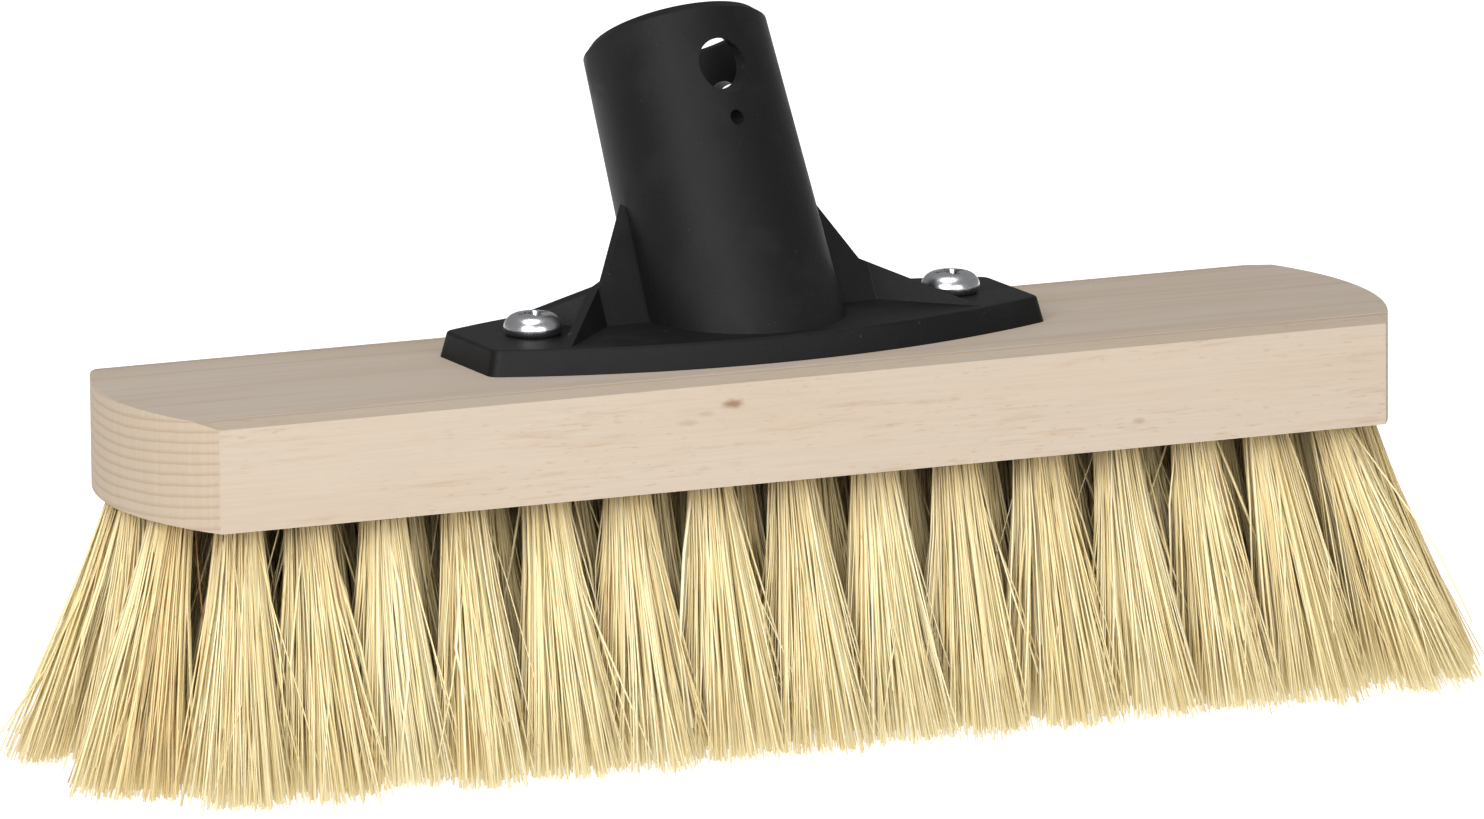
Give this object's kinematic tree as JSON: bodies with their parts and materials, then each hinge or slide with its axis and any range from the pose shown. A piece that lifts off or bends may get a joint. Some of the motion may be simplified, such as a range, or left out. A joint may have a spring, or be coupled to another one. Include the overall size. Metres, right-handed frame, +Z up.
{
  "type": "push broom head",
  "caption": "Push broom head: wooden block filled with stiff fibre tufts, and a leaning screw-on handle socket.",
  "frame": {"origin": "centre of the sweeping face, on the plane of the trimmed fibre tips, under the middle of the block", "axes": "+X along the block, -Y the front that the handle leans away from, +Z up from the floor to the block"},
  "size_m": [0.2756, 0.087, 0.1308],
  "materials": {
    "beech": "sanded, unvarnished",
    "black_plastic": "fine moulded grain, slight sheen",
    "zinc_plated_steel": "bright zinc plate",
    "fibre": "dry natural plant fibre",
    "staple_wire": "drawn flat wire"
  },
  "bodies": {
    "root": {"block": "beech", "handle_socket": "black_plastic", "screw_left": "zinc_plated_steel", "screw_right": "zinc_plated_steel", "tuft_front_01": "fibre", "tuft_front_02": "fibre", "tuft_front_03": "fibre", "tuft_front_04": "fibre", "tuft_front_05": "fibre", "tuft_front_06": "fibre", "tuft_front_07": "fibre", "tuft_front_08": "fibre", "tuft_front_09": "fibre", "tuft_front_10": "fibre", "tuft_front_11": "fibre", "tuft_front_12": "fibre", "tuft_front_13": "fibre", "tuft_front_14": "fibre", "tuft_front_15": "fibre", "staples_front": "staple_wire", "tufts_inner_front": "fibre", "staples_inner_front": "staple_wire", "tuft_middle_01": "fibre", "tuft_middle_02": "fibre", "tuft_middle_03": "fibre", "tuft_middle_04": "fibre", "tuft_middle_05": "fibre", "tuft_middle_06": "fibre", "tuft_middle_07": "fibre", "tuft_middle_08": "fibre", "tuft_middle_09": "fibre", "tuft_middle_10": "fibre", "tuft_middle_11": "fibre", "tuft_middle_12": "fibre", "tuft_middle_13": "fibre", "tuft_middle_14": "fibre", "tuft_middle_15": "fibre", "staples_middle": "staple_wire", "tufts_inner_back": "fibre", "staples_inner_back": "staple_wire", "tuft_back_01": "fibre", "tuft_back_02": "fibre", "tuft_back_03": "fibre", "tuft_back_04": "fibre", "tuft_back_05": "fibre", "tuft_back_06": "fibre", "tuft_back_07": "fibre", "tuft_back_08": "fibre", "tuft_back_09": "fibre", "tuft_back_10": "fibre", "tuft_back_11": "fibre", "tuft_back_12": "fibre", "tuft_back_13": "fibre", "tuft_back_14": "fibre", "tuft_back_15": "fibre", "staples_back": "staple_wire"}
  },
  "joints": []
}
